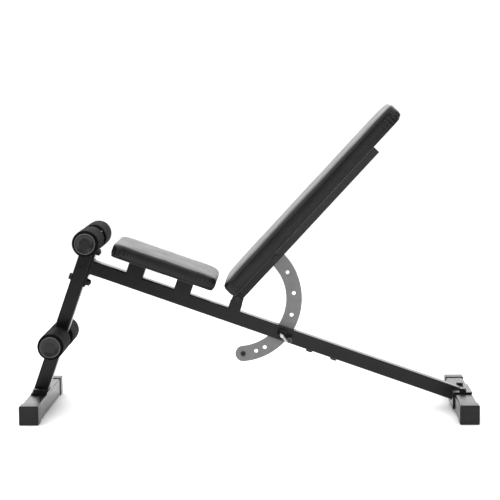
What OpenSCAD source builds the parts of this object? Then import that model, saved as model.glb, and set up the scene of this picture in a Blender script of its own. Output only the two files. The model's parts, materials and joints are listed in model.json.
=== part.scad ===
// Decline sit-up bench: sloping rail on two cross feet, fixed seat, folding backrest with an
// indexing arc and a spring-loaded lock pin, and two pairs of foam leg rollers.
// Millimetres. X runs from the roller end to the backrest end, Y across the bench, Z up.
// The origin is on the floor, midway between the feet, on the bench's middle plane.

/* [Feet] */
// Distance between the two foot tubes, centre to centre
foot_spacing = 1206.7; // [1150:0.1:1260]
// Overall width across the foot caps
bench_w = 460; // [400:10:560]
// Outer size of the square foot tube
foot_tube = 50; // [45:1:55]
// Wall of the slip-over foot caps, which also lifts the tube off the floor
cap_wall = 2; // [1.5:0.5:3]
// How far a foot cap reaches along its tube
cap_depth = 38; // [30:1:50]
// Half width of the bolted foot bracket
bracket_half_w = 62; // [56:1:75]
// Thickness of the foot bracket
bracket_t = 5; // [4:0.5:6]
// Distance of a foot bolt from the middle plane
foot_bolt_y = 44; // [40:1:50]

/* [Rail and upright] */
// Outer size of the square rail and upright tube
rail_tube = 40; // [38:1:42]
// Wall of every steel tube
tube_wall = 2; // [1.5:0.5:3]
// Thickness of the seat and hinge bracket plates
plate_t = 4; // [3:0.5:4.5]
// Downward slope of the rail, in degrees
rail_slope = 19.5; // [18.5:0.5:20.5]
// Height of the rail's centre line where it meets the rear foot bracket
rail_end_z = 49; // [47:1:51]
// Where the front rail ends and the rear rail begins
splice_s = 185; // [180:1:200]

/* [Leg rollers] */
// Diameter of a foam roller
foam_d = 75; // [70:1:80]
// Outer end of a foam roller, from the middle plane
foam_end_y = 165; // [150:1:180]
// Height of the upper roller above the rail's centre line
upper_roller_rise = 78; // [77:1:79]
// Depth of the lower roller below the rail's centre line
lower_roller_drop = 227; // [215:1:235]
// Diameter of the roller tube
roller_tube_d = 25.4; // [22:0.2:26]

/* [Seat] */
// Front end of the seat pad along the rail
seat_start = -518; // [-522:1:-512]
// Length of the seat pad
seat_len = 307; // [290:1:307]
// Width of the seat pad
seat_w = 240; // [200:5:280]
// Height of the seat's underside above the rail's centre line
seat_rise = 63; // [60:1:66]
// Thickness of the seat with its board
seat_t = 39; // [35:1:40]

/* [Backrest] */
// Place of the hinge along the rail
pivot_s = -139; // [-141:1:-138]
// Height of the hinge above the rail's centre line
pivot_rise = 52; // [51:1:54]
// Length of the backrest pad
back_len = 694; // [600:5:720]
// Width of the backrest pad
back_w = 244; // [200:2:280]
// Thickness of the backrest with its board
back_t = 45; // [40:1:46]
// Backrest angle as drawn, in degrees above the floor
back_angle = 47; // [26, 47, 70.5]
// Length of the channel under the backrest, from the hinge
channel_len = 578; // [520:1:600]

/* [Adjustment] */
// Radius of the indexing arc at its hole circle
arc_r = 160.5; // [159:0.5:162]
// Width of the arc's band
arc_band = 45; // [42:1:46]
// Thickness of the arc plate
arc_t = 5; // [4:0.5:6]
// Diameter of the lock pin
pin_d = 10; // [8:0.5:12]
// How far the lock pin moves, from withdrawn to fully in
pin_travel = 9; // [8.5:0.5:9.5]

/* [Hidden] */

$fn = 48;
// Clearance cut past a face, so that a cut never ends exactly on it
cut = 1;

// Colours
steel_black = "#26272a";
plastic_black = "#333438";
vinyl_black = "#202124";
foam_grey = "#3a3b3e";
zinc = "#b9bcc0";
arc_grey = "#85878a";
nylon = "#d8d5cb";
board_brown = "#7a6248";

// Feet
front_x = -foot_spacing / 2;
rear_x = foot_spacing / 2;
cap_size = foot_tube + 2 * cap_wall;
foot_mid_z = cap_wall + foot_tube / 2;
foot_top_z = cap_wall + foot_tube;
bracket_top_z = foot_top_z + bracket_t;
bracket_skirt_z = 9;
front_bracket_w = 46;
front_bolt_x = front_x - 9;
foot_bolt_len = 24;
rivet_nut_r = 7;
rivet_nut_len = 16;
cap_end_wall = 3;
foot_len = bench_w - 2 * cap_end_wall;

// Rail frame: x along the rail, z square to it, origin level with the rail's centre line
rail_face_x = rear_x - foot_tube / 2 - bracket_t;
rail_n = rail_face_x * sin(rail_slope) + rail_end_z * cos(rail_slope);
rail_top = rail_tube / 2;
rail_tip_s = ((rail_n + rail_top) * cos(rail_slope) - bracket_top_z) / sin(rail_slope);
upright_s = front_x * cos(rail_slope) - bracket_top_z * sin(rail_slope);
upright_face_s = upright_s + rail_tube / 2;
upright_top = upper_roller_rise + 24;
plug_t = 3;
plug_in = 6;
flange_t = 5;
flange_half_h = 60;
flange_bolt_rise = 46;
rail_start_s = upright_face_s + flange_t;
sleeve_start = splice_s - 105;
sleeve_end = splice_s + 80;
sleeve_gap = 0.2;
sleeve_tube = rail_tube - 2 * tube_wall - 2 * sleeve_gap;
sleeve_wall = 2.5;
sleeve_floor = sleeve_wall - sleeve_tube / 2;
splice_bolt_s = [splice_s - 82, splice_s - 9];
// Side of the blocks that trim a tube level or upright, larger than any tube's end
trim = 500;

// Seat
board_t = 12;
board_inset = 8;
seat_board_r = 12;
seat_corner_r = 30;
seat_edge_r = 12;
screw_grip = 9;
seat_bracket_len = 48;
seat_bracket_s = [seat_start + 54, seat_start + 198];
side_overlap = 10;
seat_screw_y = 11;

// Backrest frame: x along the pad from the hinge, z square to the pad
pivot_bolt_d = 12;
pivot_bush_r = 8;
pivot_run = 0.05;
channel_w = 38;
channel_wall = 2.5;
channel_low = -10.5;
pivot_bush_flange_r = 10;
channel_top = 17.5;
channel_tail = 15;
back_start = 5;
washer_gap = 0.1;
back_screw_t = [70, 300, 530];
back_board_r = 20;
back_board_far_inset = 18;
back_corner_r = 28;
back_edge_r = 20;
bush_in = 3;
ear_r = 16.5;
ear_w = 36;
ear_flare = 20;
ear_outer_y = rail_tube / 2 + plate_t;

// Backrest stops, in degrees above the floor, from upright to full decline
back_stops = [80, 70.5, 47, 26, 3.5, -19];
arc_tail_angle = -132;
arc_head_angle = 12;
pin_s = pivot_s + sqrt(pow(arc_r, 2) - pow(pivot_rise, 2));
pin_angle = -asin(pivot_rise / arc_r) - rail_slope;
hole_r = pin_d / 2 + 0.5;
slot_w = arc_t + 4;
slot_lead = 8;
slot_tail = 4;
arc_inner_r = arc_r - arc_band / 2;
arc_outer_r = arc_r + arc_band / 2;

// Lock pin, drawn withdrawn; distances are from the middle plane, out through the rail's near side
housing_z = rail_tube / 2;
spigot_r = 9;
spigot_in = 5;
housing_r = 14;
housing_len = 26;
housing_cap_t = 4;
housing_cap_plug = 3;
housing_cap_bevel = 2;
chamber_r = 8.4;
chamber_start = 3;
fit_gap = 0.1;
pin_run = 0.05;
pin_tip = pin_travel / 2;
pin_nose = 0.8;
pin_collar_z = housing_z + chamber_start + pin_travel + 0.5;
pin_collar_t = 2.5;
pin_collar_r = 7.6;
stem_r = 3;
spring_r = 5.9;
spring_wire_r = 0.6;
spring_turns = 4;
handle_z = 63;
handle_r = 3.4;
handle_hub_r = 4.6;
handle_back = 5;
handle_len = 20;
handle_tilt = 50;
knob_r = 7.6;
knob_len = 11;
knob_reach = 24.8;
knob_tilt = 31.6;
knob_dish_r = 3.6;
knob_dish = 3;

// Rollers
bush_r = 15;
bush_flange_r = 18;
bush_flange_t = 1.5;
roller_run = 0.06;
foam_start_y = rail_tube / 2 + 2;
foam_edge_r = 4;
roller_tube_wall = 1.5;
roller_cap_r = 29;
roller_cap_t = 5;
roller_cap_edge_r = 2.4;
roller_cap_rim = 4;
roller_cap_dish = 2.4;
roller_cap_floor_r = 16;
roller_cap_hub_r = 9;
roller_cap_hub_t = 0.8;
roller_cap_plug = 14;

// Fasteners: thread diameter, size across flats, head height, nut height
m10 = [10, 17, 6.4, 8];
m12 = [12, 19, 7.5, 10];
m8 = [8, 13, 5.3, 6.8];
thread_gap = 0.05;
hole_gap = 0.5;
washer_t = 2;
washer_r = 10;
spacer_r = 9;
// How far a thread stands out past its nut
thread_out = 2;
// Radius of a hex head at its two ends, as a share of its width across flats
hex_base = 0.66;
hex_tip = 0.52;

// Local frames
module rail_frame() rotate([0, rail_slope, 0]) translate([0, 0, rail_n]) children();
module back_frame() rail_frame() translate([pivot_s, 0, pivot_rise])
    rotate([0, -rail_slope - back_angle, 0]) children();

// Turns a shape drawn along +z so that it points along +y
module point_y() rotate([-90, 0, 0]) children();
// Turns a shape drawn along +z so that it points along -y
module point_minus_y() rotate([90, 0, 0]) children();
// Both sides of the middle plane
module both_sides() {
    children();
    mirror([0, 1, 0]) children();
}

// Rectangle with true round corners
module round_rect(w, h, r) {
    square([w - 2 * r, h], center = true);
    square([w, h - 2 * r], center = true);
    for (x = [-1, 1], y = [-1, 1])
        translate([x * (w / 2 - r), y * (h / 2 - r)]) circle(r);
}

// Square tube's section
module tube_section(size, wall) difference() {
    round_rect(size, size, 2 * wall);
    round_rect(size - 2 * wall, size - 2 * wall, wall);
}

// Square tube along +x
module tube_x(size, wall, from, to) translate([from, 0, 0]) rotate([90, 0, 90])
    linear_extrude(to - from) tube_section(size, wall);

// Hexagon with a chamfered top, by its size across flats
module hexagon(flats, h) intersection() {
    cylinder(d = flats / cos(30), h = h, $fn = 6);
    cylinder(r1 = flats * hex_base, r2 = flats * hex_tip, h = h);
}

// Hex bolt: head above z = 0, shank below it
module hex_bolt(size, len) {
    translate([0, 0, -len]) cylinder(d = size[0], h = len);
    hexagon(size[1], size[2]);
}

// Hex nut standing on z = 0
module hex_nut(size, h) difference() {
    hexagon(size[1], h);
    translate([0, 0, -cut]) cylinder(r = size[0] / 2 + thread_gap, h = h + 2 * cut);
}

// Flat washer standing on z = 0
module washer(bore_r, outer_r, t) difference() {
    cylinder(r = outer_r, h = t);
    translate([0, 0, -cut]) cylinder(r = bore_r, h = t + 2 * cut);
}

// Tube across the bench, with two holes at bolt_x in its top wall
module foot_tube_at(x, bolt_x) difference() {
    translate([x, -foot_len / 2, foot_mid_z]) point_y()
        linear_extrude(foot_len) tube_section(foot_tube, tube_wall);
    for (y = [-foot_bolt_y, foot_bolt_y])
        translate([bolt_x, y, foot_mid_z]) cylinder(r = rivet_nut_r, h = foot_tube);
}

// Slip-over end caps
module foot_caps_at(x) both_sides() translate([x, -bench_w / 2, cap_size / 2]) difference() {
    point_y() linear_extrude(cap_depth) round_rect(cap_size, cap_size, cap_wall + tube_wall);
    translate([-foot_tube / 2, cap_end_wall, -foot_tube / 2])
        cube([foot_tube, cap_depth, foot_tube]);
}

// Plate on top of a foot, from x = from to the far edge of the tube at x = to
module foot_plate(from, to, bolt_x) difference() {
    translate([from, -bracket_half_w, foot_top_z])
        cube([to - from, 2 * bracket_half_w, bracket_t]);
    for (y = [-foot_bolt_y, foot_bolt_y])
        translate([bolt_x, y, foot_top_z - cut])
            cylinder(r = m10[0] / 2 + hole_gap, h = bracket_t + 2 * cut);
}

// Bolts down through the bracket into the foot's rivet nuts
module foot_bolts_at(x) for (y = [-foot_bolt_y, foot_bolt_y])
    translate([x, y, bracket_top_z]) {
        translate([0, 0, washer_t]) hex_bolt(m10, foot_bolt_len);
        washer(m10[0] / 2 + 2 * thread_gap, washer_r, washer_t);
    }

// Rivet nuts in the foot's top wall
module rivet_nuts_at(x) for (y = [-foot_bolt_y, foot_bolt_y])
    translate([x, y, foot_top_z]) mirror([0, 0, 1])
        washer(m10[0] / 2 + thread_gap, rivet_nut_r, rivet_nut_len);

module front_foot_tube() color(steel_black) foot_tube_at(front_x, front_bolt_x);
module rear_foot_tube() color(steel_black) foot_tube_at(rear_x, rear_x);
module front_foot_caps() color(plastic_black) foot_caps_at(front_x);
module rear_foot_caps() color(plastic_black) foot_caps_at(rear_x);
module front_foot_bracket() color(steel_black)
    foot_plate(front_x + foot_tube / 2 - front_bracket_w, front_x + foot_tube / 2, front_bolt_x);

// The rear bracket also has a skirt down the foot's inner side, which the rail butts on
module rear_foot_bracket() color(steel_black) {
    foot_plate(rear_x - foot_tube / 2, rear_x + foot_tube / 2, rear_x);
    translate([rail_face_x, -bracket_half_w, bracket_skirt_z])
        cube([bracket_t, 2 * bracket_half_w, bracket_top_z - bracket_skirt_z]);
}
module front_foot_bolts() color(zinc) foot_bolts_at(front_bolt_x);
module rear_foot_bolts() color(zinc) foot_bolts_at(rear_x);
module front_rivet_nuts() color(zinc) rivet_nuts_at(front_bolt_x);
module rear_rivet_nuts() color(zinc) rivet_nuts_at(rear_x);

// Upright: square to the rail, its foot cut level to stand on the front bracket
module upright() color(steel_black) difference() {
    rail_frame() translate([upright_s, 0, 0]) difference() {
        translate([0, 0, -2 * lower_roller_drop])
            linear_extrude(2 * lower_roller_drop + upright_top)
                tube_section(rail_tube, tube_wall);
        for (z = [upper_roller_rise, -lower_roller_drop])
            translate([0, 0, z]) point_y() cylinder(r = bush_r, h = 3 * rail_tube, center = true);
        for (z = [-flange_bolt_rise, flange_bolt_rise])
            translate([0, 0, z]) rotate([0, 90, 0])
                cylinder(r = m10[0] / 2 + hole_gap, h = 3 * rail_tube, center = true);
    }
    translate([front_x - trim / 2, -trim / 2, bracket_top_z - trim]) cube(trim);
}

// Plastic plug in the upright's open top
module upright_plug() color(plastic_black) rail_frame() translate([upright_s, 0, upright_top]) {
    linear_extrude(plug_t) round_rect(rail_tube, rail_tube, 2 * tube_wall);
    translate([0, 0, -plug_in]) linear_extrude(plug_in + cut)
        round_rect(sleeve_tube, sleeve_tube, tube_wall);
}

// Plate on the front rail's end, bolted to the upright above and below the rail
module rail_flange() color(steel_black) rail_frame() difference() {
    translate([upright_face_s, -rail_tube / 2, -flange_half_h])
        cube([flange_t, rail_tube, 2 * flange_half_h]);
    for (z = [-flange_bolt_rise, flange_bolt_rise])
        translate([upright_face_s - cut, 0, z]) rotate([0, 90, 0])
            cylinder(r = m10[0] / 2 + hole_gap, h = flange_t + 2 * cut);
}

// Long bolts through the upright and the flange
flange_bolt_len = rail_tube + flange_t + 2 * washer_t + m10[3] + thread_out;
module at_flange_bolts() rail_frame() for (z = [-flange_bolt_rise, flange_bolt_rise])
    translate([upright_s - rail_tube / 2, 0, z]) rotate([0, 90, 0]) children();
module flange_bolts() color(zinc) at_flange_bolts()
    translate([0, 0, -washer_t]) mirror([0, 0, 1]) hex_bolt(m10, flange_bolt_len);
module flange_washers() color(zinc) at_flange_bolts()
    for (z = [-washer_t, rail_tube + flange_t])
        translate([0, 0, z]) washer(m10[0] / 2 + 2 * thread_gap, washer_r, washer_t);
module flange_nuts() color(zinc) at_flange_bolts()
    translate([0, 0, rail_tube + flange_t + washer_t]) hex_nut(m10, m10[3]);

// Slot in one wall of the rail that the arc passes through, at height z above the centre line
module arc_slot(z) {
    drop = pivot_rise - z;
    from = pivot_s + sqrt(pow(arc_inner_r, 2) - pow(drop, 2)) - slot_lead;
    to = pivot_s + sqrt(pow(arc_outer_r, 2) - pow(drop, 2)) + slot_tail;
    translate([from, 0, z - 2 * tube_wall]) {
        translate([0, -slot_w / 2, 0]) cube([to - from, slot_w, 4 * tube_wall]);
        for (x = [0, to - from])
            translate([x, 0, 0]) cylinder(d = slot_w, h = 4 * tube_wall);
    }
}

// Holes in the lower walls for the splice bolts
module splice_holes() for (s = splice_bolt_s)
    translate([s, 0, -rail_tube]) cylinder(r = m10[0] / 2 + hole_gap, h = rail_tube);

// Front rail, slotted for the arc and bored on its near side for the lock housing
module front_rail() color(steel_black) rail_frame() difference() {
    tube_x(rail_tube, tube_wall, rail_start_s, splice_s);
    arc_slot(rail_top);
    arc_slot(-rail_top);
    splice_holes();
    translate([pin_s, 0, 0]) point_minus_y() cylinder(r = spigot_r, h = rail_tube);
}

// Rear rail: butts on the rear bracket's skirt, and its top runs on over the plate as a wedge
module rear_rail() color(steel_black) difference() {
    rail_frame() tube_x(rail_tube, tube_wall, splice_s, rail_tip_s);
    translate([rail_face_x, -trim / 2, bracket_top_z - trim]) cube(trim);
}

// Sleeve welded into the rear rail, which the front rail slides over
module splice_sleeve() color(steel_black) rail_frame() difference() {
    tube_x(sleeve_tube, sleeve_wall, sleeve_start, sleeve_end);
    splice_holes();
}

// Bolts up through both lower walls, into nuts welded inside the sleeve
splice_bolt_len = rail_top + sleeve_floor + m10[3] + thread_out;
module splice_bolts() color(zinc) rail_frame() for (s = splice_bolt_s)
    translate([s, 0, -rail_top]) mirror([0, 0, 1]) hex_bolt(m10, splice_bolt_len);
module splice_nuts() color(zinc) rail_frame() for (s = splice_bolt_s)
    translate([s, 0, sleeve_floor]) hex_nut(m10, m10[3]);

// Inverted U bracket astride the rail, under the seat
module seat_bracket_at(s) rail_frame() translate([s, 0, 0]) difference() {
    translate([0, -rail_tube / 2 - plate_t, rail_top - side_overlap])
        cube([seat_bracket_len, rail_tube + 2 * plate_t, seat_rise - rail_top + side_overlap]);
    translate([-cut, -rail_tube / 2, rail_top - side_overlap - cut])
        cube([seat_bracket_len + 2 * cut, rail_tube,
            seat_rise - plate_t - rail_top + side_overlap + cut]);
    for (y = [-seat_screw_y, seat_screw_y])
        translate([seat_bracket_len / 2, y, seat_rise - 2 * plate_t])
            cylinder(r = m8[0] / 2 + hole_gap, h = 3 * plate_t);
}
module front_seat_bracket() color(steel_black) seat_bracket_at(seat_bracket_s[0]);
module rear_seat_bracket() color(steel_black) seat_bracket_at(seat_bracket_s[1]);

// Screws up through the brackets into the seat board
module seat_screws() color(zinc) rail_frame()
    for (s = seat_bracket_s, y = [-seat_screw_y, seat_screw_y])
        translate([s + seat_bracket_len / 2, y, seat_rise - plate_t]) mirror([0, 0, 1])
            hex_bolt(m8, plate_t + screw_grip);

// Plywood board with pilot holes for its screws; corner radius r, holes at [x, y] points
module board(len, w, r, holes) difference() {
    translate([len / 2, 0, 0]) linear_extrude(board_t) round_rect(len, w, r);
    for (p = holes)
        translate([p[0], p[1], -cut])
            cylinder(r = m8[0] / 2 + thread_gap, h = screw_grip + cut + hole_gap);
}
module seat_board() color(board_brown) rail_frame()
    translate([seat_start + board_inset, 0, seat_rise])
        board(seat_len - 2 * board_inset, seat_w - 2 * board_inset, seat_board_r,
            [for (s = seat_bracket_s, y = [-seat_screw_y, seat_screw_y])
                [s + seat_bracket_len / 2 - seat_start - board_inset, y]]);

// Plain cushion blank: sides drawn in a little at the bottom, round upper edges
cushion_tuck = 5;
module cushion(len, w, t, corner_r, edge_r) hull()
    for (x = [corner_r, len - corner_r], y = [corner_r - w / 2, w / 2 - corner_r])
        translate([x, y, 0]) {
            cylinder(r1 = corner_r - cushion_tuck, r2 = corner_r, h = t - edge_r, $fn = 32);
            for (a = [30:30:90])
                cylinder(r = corner_r - edge_r * (1 - cos(a)), h = t - edge_r * (1 - sin(a)), $fn = 32);
        }
module seat_pad() color(vinyl_black) rail_frame()
    translate([seat_start, 0, seat_rise + board_t])
        cushion(seat_len, seat_w, seat_t - board_t, seat_corner_r, seat_edge_r);

// Ear outline of the hinge bracket, drawn with x along the rail and y square to it
module ear_outline() {
    translate([-ear_w / 2, rail_top - side_overlap])
        square([ear_w, pivot_rise - ear_r - rail_top + side_overlap]);
    translate([0, pivot_rise]) circle(ear_r);
    translate([0, pivot_rise - ear_r]) polygon([
        [-ear_w / 2, -cut], [ear_w / 2, -cut], [ear_w / 2, 0],
        [ear_r * cos(ear_flare), ear_r * (1 - sin(ear_flare))],
        [-ear_r * cos(ear_flare), ear_r * (1 - sin(ear_flare))],
        [-ear_w / 2, 0]]);
}

// Hinge bracket: two ears astride the rail, tied by a web that lies on the rail
module pivot_bracket() color(steel_black) rail_frame() translate([pivot_s, 0, 0]) {
    both_sides() translate([0, -rail_tube / 2, 0]) difference() {
        point_minus_y() linear_extrude(plate_t) ear_outline();
        translate([0, cut, pivot_rise]) point_minus_y()
            cylinder(r = pivot_bolt_d / 2 + pivot_run, h = plate_t + 2 * cut);
    }
    translate([-ear_w / 2, -rail_tube / 2 - cut, rail_top])
        cube([ear_w, rail_tube + 2 * cut, plate_t]);
}
pivot_bolt_len = 2 * ear_outer_y + m12[3] + thread_out;
module pivot_bolt() color(zinc) rail_frame() translate([pivot_s, -ear_outer_y, pivot_rise])
    point_minus_y() hex_bolt(m12, pivot_bolt_len);
module pivot_nut() color(zinc) rail_frame() translate([pivot_s, ear_outer_y, pivot_rise])
    point_y() hex_nut(m12, m12[3]);

// Flanged bushes in the upright's side walls, for one roller tube
module roller_bushes_at(z) rail_frame() translate([upright_s, 0, z]) both_sides()
    translate([0, -rail_tube / 2, 0]) difference() {
        union() {
            point_minus_y() cylinder(r = bush_flange_r, h = bush_flange_t);
            point_y() cylinder(r = bush_r, h = tube_wall + bush_in);
        }
        point_y() cylinder(r = roller_tube_d / 2 + roller_run, h = rail_tube, center = true);
    }
module upper_roller_bushes() color(nylon) roller_bushes_at(upper_roller_rise);
module lower_roller_bushes() color(nylon) roller_bushes_at(-lower_roller_drop);

// Local frame of the lock pin: z points out of the rail's near face, origin on the middle plane
module pin_frame() rail_frame() translate([pin_s, 0, 0]) point_minus_y() children();

// Lock housing: spigot in the rail wall, round body with the spring chamber
module lock_housing() color(plastic_black) pin_frame() difference() {
    union() {
        translate([0, 0, housing_z - spigot_in]) cylinder(r = spigot_r, h = spigot_in + cut);
        translate([0, 0, housing_z]) cylinder(r = housing_r, h = housing_len);
    }
    translate([0, 0, housing_z - spigot_in - cut])
        cylinder(r = pin_d / 2 + pin_run, h = housing_len);
    translate([0, 0, housing_z + chamber_start]) cylinder(r = chamber_r, h = housing_len);
}

// Screwed cap that closes the chamber and guides the stem
module lock_housing_cap() color(plastic_black) pin_frame()
    translate([0, 0, housing_z + housing_len]) difference() {
        union() {
            cylinder(r1 = housing_r, r2 = housing_r - housing_cap_bevel, h = housing_cap_t);
            translate([0, 0, -housing_cap_plug])
                cylinder(r = chamber_r - fit_gap, h = housing_cap_plug + cut);
        }
        cylinder(r = stem_r + pin_run, h = 3 * housing_cap_t, center = true);
    }

// Compression spring between the pin's collar and the cap
spring_from = pin_collar_z + pin_collar_t + spring_wire_r + fit_gap;
spring_to = housing_z + housing_len - housing_cap_plug - spring_wire_r - fit_gap;
spring_sides = 6;
spring_steps = 16;
function spring_point(i, j) = let (
    turn = 360 * i / spring_steps,
    r = spring_r + spring_wire_r * cos(360 * j / spring_sides),
    rise = spring_from + (spring_to - spring_from) * i / (spring_turns * spring_steps))
    [r * cos(turn), r * sin(turn), rise + spring_wire_r * sin(360 * j / spring_sides)];
module lock_spring() color(zinc) pin_frame() {
    last = spring_turns * spring_steps;
    polyhedron(
        points = [for (i = [0:last], j = [0:spring_sides - 1]) spring_point(i, j)],
        faces = concat(
            [[for (j = [0:spring_sides - 1]) j]],
            [for (i = [0:last - 1], j = [0:spring_sides - 1]) let (k = (j + 1) % spring_sides)
                [i * spring_sides + j, (i + 1) * spring_sides + j,
                 (i + 1) * spring_sides + k, i * spring_sides + k]],
            [[for (j = [spring_sides - 1:-1:0]) last * spring_sides + j]]),
        convexity = 8);
}

// Pin: nose, collar that the spring pushes on, and stem out to the handle
module lock_pin() color(zinc) pin_frame() {
    translate([0, 0, pin_tip]) cylinder(r1 = pin_d / 2 - pin_nose, r2 = pin_d / 2, h = pin_nose);
    translate([0, 0, pin_tip + pin_nose]) cylinder(d = pin_d, h = pin_collar_z - pin_tip - pin_nose);
    translate([0, 0, pin_collar_z]) cylinder(r = pin_collar_r, h = pin_collar_t);
    translate([0, 0, pin_collar_z + pin_collar_t])
        cylinder(r = stem_r, h = handle_z - pin_collar_z - pin_collar_t);
}

// Frame of the pull handle: x level, z out along the pin
module handle_frame() pin_frame() translate([0, 0, handle_z]) rotate([0, 0, rail_slope]) children();

// The handle's round arm, grown by gap
module handle_arm(gap) rotate([0, 0, -handle_tilt]) {
    translate([-handle_back, 0, 0]) rotate([0, 90, 0])
        cylinder(r = handle_r + gap, h = handle_back + handle_len);
    for (x = [-handle_back, handle_len])
        translate([x, 0, 0]) sphere(handle_r + gap);
}

// Pull handle: a hub on the stem's end and an arm square to it
module lock_handle() color(zinc) handle_frame() difference() {
    union() {
        cylinder(r = handle_hub_r, h = 2 * handle_r, center = true);
        handle_arm(0);
    }
    translate([0, 0, -handle_r - cut]) cylinder(r = stem_r, h = handle_r + cut);
}

// Thumb knob held on the back of the arm, with a dished face
module lock_knob() color(plastic_black) handle_frame() difference() {
    rotate([0, 0, -knob_tilt]) translate([knob_reach, 0, knob_dish - handle_r]) difference() {
        translate([0, 0, -knob_len]) cylinder(r = knob_r, h = knob_len);
        translate([0, 0, -knob_dish]) cylinder(r = knob_dish_r, h = knob_dish + cut);
    }
    handle_arm(fit_gap);
}

// Backrest channel: open below, rounded at the hinge end
module channel_side() {
    translate([0, channel_low])
        square([channel_len, channel_top - channel_low]);
    intersection() {
        circle(channel_tail);
        translate([-channel_tail, channel_low])
            square([channel_tail + cut, channel_top - channel_low]);
    }
}
module backrest_channel() color(steel_black) back_frame() difference() {
    translate([0, channel_w / 2, 0]) point_minus_y() linear_extrude(channel_w) channel_side();
    translate([-2 * channel_tail, channel_wall - channel_w / 2, channel_low - cut])
        cube([channel_len + 3 * channel_tail, channel_w - 2 * channel_wall,
            channel_top - channel_wall - channel_low + cut]);
    point_y() cylinder(r = pivot_bush_r, h = 2 * channel_w, center = true);
    translate([arc_r, 0, 0]) point_y()
        cylinder(r = m10[0] / 2 + hole_gap, h = 2 * channel_w, center = true);
    for (t = back_screw_t)
        translate([t, 0, 0]) cylinder(r = m8[0] / 2 + hole_gap, h = 2 * channel_top);
}

// Flanged bushes that carry the channel on the hinge bolt
module pivot_bushes() color(nylon) back_frame() both_sides()
    translate([0, -channel_w / 2, 0]) difference() {
        union() {
            point_minus_y()
                cylinder(r = pivot_bush_flange_r, h = rail_tube / 2 - channel_w / 2 - washer_gap);
            point_y() cylinder(r = pivot_bush_r, h = channel_wall + bush_in);
        }
        point_y() cylinder(r = pivot_bolt_d / 2 + pivot_run, h = channel_w, center = true);
    }

module backrest_board() color(board_brown) back_frame()
    translate([back_start + board_inset, 0, channel_top])
        board(back_len - board_inset - back_board_far_inset, back_w - 2 * board_inset, back_board_r,
            [for (t = back_screw_t) [t - back_start - board_inset, 0]]);
module backrest_pad() color(vinyl_black) back_frame()
    translate([back_start, 0, channel_top + board_t])
        cushion(back_len, back_w, back_t - board_t, back_corner_r, back_edge_r);
module backrest_screws() color(zinc) back_frame() for (t = back_screw_t)
    translate([t, 0, channel_top - channel_wall]) mirror([0, 0, 1])
        hex_bolt(m8, channel_wall + screw_grip);

// Indexing arc: a ring sector about the hinge, with a round tail and one hole for each stop
module arc_sector() {
    far = 3 * arc_r;
    steps = 6;
    polygon(concat([[0, 0]],
        [for (i = [0:steps]) let (a = arc_tail_angle + (arc_head_angle - arc_tail_angle) * i / steps)
            [far * cos(a), far * sin(a)]]));
}
module adjustment_arc() color(arc_grey) back_frame() point_y() rotate([180, 0, 0]) difference() {
    translate([0, 0, -arc_t / 2]) linear_extrude(arc_t) {
        intersection() {
            difference() {
                circle(arc_outer_r, $fn = 180);
                circle(arc_inner_r, $fn = 180);
            }
            arc_sector();
            translate([-2 * arc_r, -2 * arc_r])
                square([4 * arc_r, 2 * arc_r + channel_top - channel_wall]);
        }
        rotate(arc_tail_angle) translate([arc_r, 0]) circle(arc_band / 2);
    }
    for (stop = back_stops)
        rotate([0, 0, pin_angle - stop]) translate([arc_r, 0, -arc_t])
            cylinder(r = hole_r, h = 2 * arc_t);
    translate([arc_r, 0, -arc_t]) cylinder(r = m10[0] / 2 + hole_gap, h = 2 * arc_t);
    rotate([0, 0, arc_tail_angle]) translate([arc_r, 0, -arc_t])
        cylinder(r = m8[0] / 2 + hole_gap, h = 2 * arc_t);
}

// Spacers that centre the arc's head in the channel
module arc_spacers() color(zinc) back_frame() translate([arc_r, 0, 0]) both_sides()
    translate([0, -arc_t / 2, 0]) point_minus_y()
        washer(m10[0] / 2 + 2 * thread_gap, spacer_r, channel_w / 2 - channel_wall - arc_t / 2);
module arc_bolt() color(zinc) back_frame() translate([arc_r, -channel_w / 2, 0])
    point_minus_y() hex_bolt(m10, channel_w + m10[3] + thread_out);
module arc_nut() color(zinc) back_frame() translate([arc_r, channel_w / 2, 0])
    point_y() hex_nut(m10, m10[3]);

// Stop bolt through the arc's tail, too wide for the rail's slot
module at_arc_tail() back_frame() rotate([0, -arc_tail_angle, 0]) translate([arc_r, 0, 0])
    children();
module arc_stop_bolt() color(zinc) at_arc_tail() translate([0, -arc_t / 2, 0])
    point_minus_y() hex_bolt(m8, arc_t + m8[3] + thread_out);
module arc_stop_nut() color(zinc) at_arc_tail() translate([0, arc_t / 2, 0])
    point_y() hex_nut(m8, m8[3]);

// Roller pieces, in a frame whose z runs along the roller away from the middle plane
module roller_frame(z) rail_frame() translate([upright_s, 0, z]) point_minus_y() children();
module roller_tube_at(z) roller_frame(z) difference() {
    cylinder(d = roller_tube_d, h = 2 * foam_end_y, center = true);
    cylinder(d = roller_tube_d - 2 * roller_tube_wall, h = 2 * (foam_end_y + cut), center = true);
}
module foam() difference() {
    rotate_extrude($fn = 96) {
        square([foam_d / 2 - foam_edge_r, foam_end_y - foam_start_y]);
        translate([0, foam_edge_r])
            square([foam_d / 2, foam_end_y - foam_start_y - 2 * foam_edge_r]);
        for (y = [foam_edge_r, foam_end_y - foam_start_y - foam_edge_r])
            translate([foam_d / 2 - foam_edge_r, y]) circle(foam_edge_r);
    }
    translate([0, 0, -cut])
        cylinder(r = roller_tube_d / 2 + thread_gap, h = foam_end_y - foam_start_y + 2 * cut);
}
module near_foam_at(z) roller_frame(z) translate([0, 0, foam_start_y]) foam();
module far_foam_at(z) mirror([0, 1, 0]) near_foam_at(z);

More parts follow.
